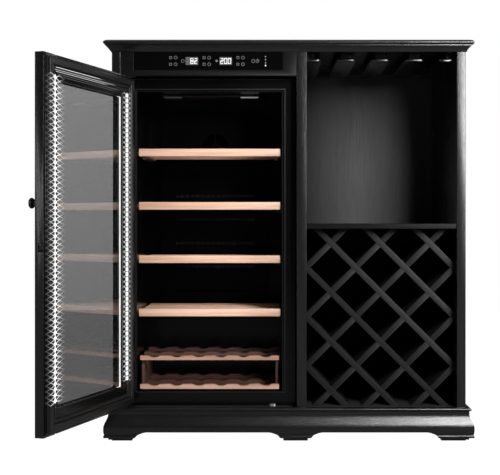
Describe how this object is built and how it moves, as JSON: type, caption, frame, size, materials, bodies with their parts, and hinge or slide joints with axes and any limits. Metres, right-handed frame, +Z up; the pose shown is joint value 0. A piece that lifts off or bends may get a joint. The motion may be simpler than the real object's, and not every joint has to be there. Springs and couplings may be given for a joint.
{
  "type": "furniture wine cooler",
  "caption": "Black oak cabinet with a glass-doored wine cooler on the left, and stemware rails, a shelf and a diamond bottle lattice in an open bay on the right.",
  "frame": {"origin": "on the floor under the middle of the cabinet's footprint, on the bottom of the centre support foot", "axes": "+X to the right seen from the front, +Y to the back, +Z up; the front faces -Y; the door's rest position is open 108 degrees"},
  "size_m": [1.396, 1.1528, 1.36],
  "materials": {
    "oak_black": "satin black stain over open-grained oak",
    "board_black": "matt black painted board",
    "case_grey": "painted sheet over foam",
    "liner_black": "satin black moulded plastic",
    "fascia_gloss": "gloss black touch fascia",
    "beech": "pale satin beech",
    "glass_clear": "lightly tinted glazing",
    "gasket_rubber": "matt black rubber",
    "led_strip": "white light strip",
    "lamp_lens": "frosted lens",
    "steel": "brushed",
    "knob_black": "satin black",
    "compressor_black": "black enamel",
    "aluminium": "plain fins"
  },
  "bodies": {
    "cabinet": {"side_panel_left": "oak_black", "side_panel_right": "oak_black", "centre_divider": "oak_black", "bay_shelf": "oak_black", "header_rail": "oak_black", "top_panel": "oak_black", "crown_moulding": "oak_black", "plinth_front": "oak_black", "plinth_left": "oak_black", "plinth_right": "oak_black", "glass_rail_1": "oak_black", "glass_rail_2": "oak_black", "glass_rail_3": "oak_black", "glass_rail_4": "oak_black", "glass_rail_5": "oak_black", "lattice_falling_1": "oak_black", "lattice_falling_2": "oak_black", "lattice_falling_3": "oak_black", "lattice_falling_4": "oak_black", "lattice_falling_5": "oak_black", "lattice_falling_6": "oak_black", "lattice_rising_1": "oak_black", "lattice_rising_2": "oak_black", "lattice_rising_3": "oak_black", "lattice_rising_4": "oak_black", "lattice_rising_5": "oak_black", "lattice_rising_6": "oak_black", "deck_panel": "board_black", "back_panel": "board_black", "centre_bearer": "board_black", "fridge_case": "case_grey", "fridge_liner": "liner_black", "duct_panel": "liner_black", "control_panel": "fascia_gloss", "bottle_crate": "beech", "ceiling_lamp": "lamp_lens", "hinge_top": "steel", "hinge_bottom": "steel", "compressor": "compressor_black", "condenser": "compressor_black", "evaporator": "aluminium"},
    "door": {"door_stile_hinge": "oak_black", "door_stile_free": "oak_black", "door_rail_top": "oak_black", "door_rail_bottom": "oak_black", "glass_outer": "glass_clear", "glass_inner": "glass_clear", "glass_spacer": "aluminium", "door_liner": "liner_black", "door_gasket": "gasket_rubber", "led_strip_hinge": "led_strip", "led_strip_free": "led_strip", "door_knob": "knob_black"},
    "lock": {"lock_cylinder": "steel"},
    "bolt": {"lock_bolt": "steel"},
    "fan": {"fan_rotor": "liner_black"},
    "shelf_1_body": {"shelf_1": "beech"},
    "shelf_2_body": {"shelf_2": "beech"},
    "shelf_3_body": {"shelf_3": "beech"},
    "shelf_4_body": {"shelf_4": "beech"}
  },
  "joints": [
    {"name": "door_hinge", "type": "hinge", "parent": "cabinet", "child": "door", "pos_m": [-0.558, -0.292, 0.675], "axis": [0, 0, -1], "range_deg": [-108, 8]},
    {"name": "shelf_1_slide", "type": "slide", "parent": "cabinet", "child": "shelf_1_body", "axis": [0, -1, 0], "range_m": [0, 0.2]},
    {"name": "shelf_2_slide", "type": "slide", "parent": "cabinet", "child": "shelf_2_body", "axis": [0, -1, 0], "range_m": [0, 0.2]},
    {"name": "shelf_3_slide", "type": "slide", "parent": "cabinet", "child": "shelf_3_body", "axis": [0, -1, 0], "range_m": [0, 0.2]},
    {"name": "shelf_4_slide", "type": "slide", "parent": "cabinet", "child": "shelf_4_body", "axis": [0, -1, 0], "range_m": [0, 0.2]},
    {"name": "fan_spin", "type": "hinge", "parent": "cabinet", "child": "fan", "pos_m": [-0.2725, 0.166, 1.025], "axis": [0, 1, 0], "continuous": true},
    {"name": "lock_turn", "type": "hinge", "parent": "door", "child": "lock", "pos_m": [-0.73789, -0.81974, 0.667], "axis": [-0.9511, 0.309, 0], "range_deg": [0, 90]},
    {"name": "bolt_slide", "type": "slide", "parent": "door", "child": "bolt", "axis": [-0.309, -0.9511, 0], "range_m": [0, 0.009]}
  ],
  "couplings": [
    {"joint": "bolt_slide", "follows": "lock_turn", "m_per_rad": 0.0057}
  ]
}
